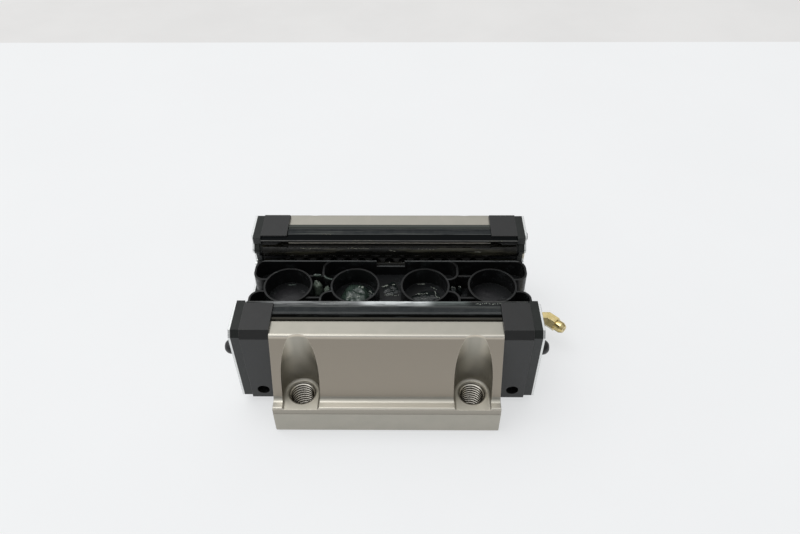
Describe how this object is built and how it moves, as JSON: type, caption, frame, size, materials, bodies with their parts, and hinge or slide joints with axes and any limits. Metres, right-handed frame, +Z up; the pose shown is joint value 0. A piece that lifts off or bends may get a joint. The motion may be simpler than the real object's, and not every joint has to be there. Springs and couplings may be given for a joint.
{
  "type": "linear guide block",
  "caption": "Flanged linear guide block with recirculating balls, end plates, seals and a grease nipple, upside down with a plastic mounting jig in its rail channel.",
  "frame": {"origin": "middle of the mounting face", "axes": "+X along the rail towards the grease nipple, +Z up from the mounting face towards the leg ends"},
  "size_m": [0.1672, 0.12, 0.0511],
  "materials": {
    "ground_steel": "satin ground steel, warm grey",
    "end_plate_plastic": "moulded black plastic, fine grain",
    "retainer_plastic": "moulded black plastic, greasy",
    "jig_plastic": "moulded black plastic, greasy",
    "inner_resin": "plain resin",
    "seal_rubber": "black rubber",
    "plate_steel": "bright thin sheet",
    "dark_steel": "black oxide",
    "ball_steel": "polished",
    "brass": "machined",
    "spring_steel": "drawn wire"
  },
  "bodies": {
    "carriage": {"ball_cage_back_high": "inner_resin", "ball_cage_back_low": "inner_resin", "ball_cage_front_high": "inner_resin", "ball_cage_front_low": "inner_resin", "ball_retainer_back": "retainer_plastic", "ball_retainer_front": "retainer_plastic", "balls_back_high": "ball_steel", "balls_back_low": "ball_steel", "balls_front_high": "ball_steel", "balls_front_low": "ball_steel", "block_body": "ground_steel", "end_plate_left": "end_plate_plastic", "end_plate_right": "end_plate_plastic", "end_screws_left": "dark_steel", "end_screws_right": "dark_steel", "end_seal_left": "seal_rubber", "end_seal_right": "seal_rubber", "grease_nipple": "brass", "nipple_spring": "spring_steel", "port_plug": "dark_steel", "return_guides_left": "inner_resin", "return_guides_right": "inner_resin", "return_sleeves_back": "inner_resin", "return_sleeves_front": "inner_resin", "seal_plate_left": "plate_steel", "seal_plate_right": "plate_steel", "side_seal_back": "seal_rubber", "side_seal_front": "seal_rubber"},
    "jig": {"mounting_jig": "jig_plastic"},
    "valve": {"nipple_ball": "ball_steel"}
  },
  "joints": [
    {"name": "jig_slide", "type": "slide", "parent": "carriage", "child": "jig", "axis": [1, 0, 0], "range_m": [-0.145, 0.145]},
    {"name": "valve_lift", "type": "slide", "parent": "carriage", "child": "valve", "axis": [-0.7071, 0.7071, 0], "range_m": [0, 0.0004]}
  ]
}
